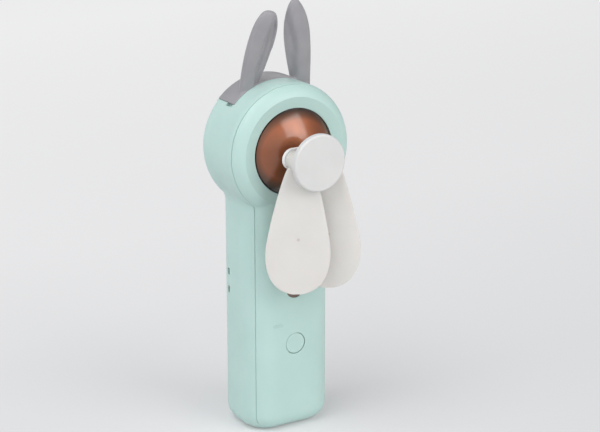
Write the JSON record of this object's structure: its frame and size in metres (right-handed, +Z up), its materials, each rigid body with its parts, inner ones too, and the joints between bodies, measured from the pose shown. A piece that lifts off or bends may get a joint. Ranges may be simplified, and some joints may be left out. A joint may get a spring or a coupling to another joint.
{
  "type": "handheld electric fan",
  "caption": "Pocket fan with a round head on a rounded handle, two fold-down soft blades on a front hub, a mist nozzle and a leaf-eared filler cover.",
  "frame": {"origin": "centre of the flat foot of the handle, on the surface that it stands on", "axes": "+Z up along the handle to the ears; -Y forwards, the way the fan blows; +X to the right seen from the front"},
  "size_m": [0.0586, 0.0538, 0.191],
  "materials": {
    "mint_plastic": "satin",
    "mint_button": "satin",
    "grey_silicone": "matte",
    "dark_rubber": "matte",
    "copper_plating": "satin copper plating",
    "black_plastic": "matte",
    "zinc_steel": "zinc plated",
    "bronze": "sintered",
    "ferrite": "matte",
    "rotor_steel": "laminated",
    "bright_steel": "bright",
    "red_wire": "insulated",
    "white_plastic": "satin",
    "white_blade": "soft satin",
    "clear_plastic": "translucent",
    "wick_fibre": "pressed fibre",
    "copper_nozzle": "dark copper plating",
    "board_green": "solder mask",
    "chip_black": "moulded",
    "led_white": "clear",
    "window_plastic": "translucent",
    "cell_wrap": "shrink wrap",
    "nickel": "rolled strip",
    "foam": "closed-cell foam"
  },
  "bodies": {
    "case": {"front_shell": "mint_plastic", "rear_shell": "mint_plastic", "dome_cover": "copper_plating", "motor_mount": "black_plastic", "motor_mount_screws": "zinc_steel", "motor_can": "zinc_steel", "motor_endbell": "black_plastic", "motor_bushings": "bronze", "motor_magnets": "ferrite", "motor_terminals": "bronze", "motor_leads": "red_wire", "water_tank": "clear_plastic", "tank_front": "clear_plastic", "wick": "wick_fibre", "wick_spring": "bright_steel", "wick_port_seal": "dark_rubber", "atomizer_seat": "black_plastic", "atomizer_disc": "bright_steel", "atomizer_seal": "dark_rubber", "atomizer_screws": "zinc_steel", "nozzle_ring": "copper_nozzle", "tact_switch": "black_plastic", "circuit_board": "board_green", "board_parts": "chip_black", "board_screws": "zinc_steel", "indicator_led": "led_white", "light_window": "window_plastic", "charge_socket": "bright_steel", "battery_cell": "cell_wrap", "battery_tabs": "nickel", "battery_pad": "foam"},
    "hub": {"motor_rotor": "rotor_steel", "motor_shaft": "bright_steel", "hub_carrier": "white_plastic", "hub_cap": "white_plastic"},
    "left_blade": {"blade_left": "white_blade"},
    "right_blade": {"blade_right": "white_blade"},
    "push_button": {"button": "mint_button", "switch_plunger": "black_plastic"},
    "ears": {"ear_cover": "grey_silicone", "filler_seal": "dark_rubber"}
  },
  "joints": [
    {"name": "hub_spin", "type": "hinge", "parent": "case", "child": "hub", "pos_m": [0, -0.03, 0.1272], "axis": [0, -1, 0], "continuous": true},
    {"name": "left_blade_fold", "type": "hinge", "parent": "hub", "child": "left_blade", "pos_m": [-0.0064, -0.0303, 0.1272], "axis": [0, 1, 0], "range_deg": [-1.8, 88.2]},
    {"name": "right_blade_fold", "type": "hinge", "parent": "hub", "child": "right_blade", "pos_m": [0.0064, -0.0303, 0.1272], "axis": [0, -1, 0], "range_deg": [-1.8, 88.2]},
    {"name": "button_press", "type": "slide", "parent": "case", "child": "push_button", "axis": [0, 1, 0], "range_m": [0, 0.0005], "stiffness_N_per_m": 600, "springref_m": -0.001},
    {"name": "ear_cover_lift", "type": "slide", "parent": "case", "child": "ears", "axis": [0, 0, 1], "range_m": [0, 0.03]}
  ]
}
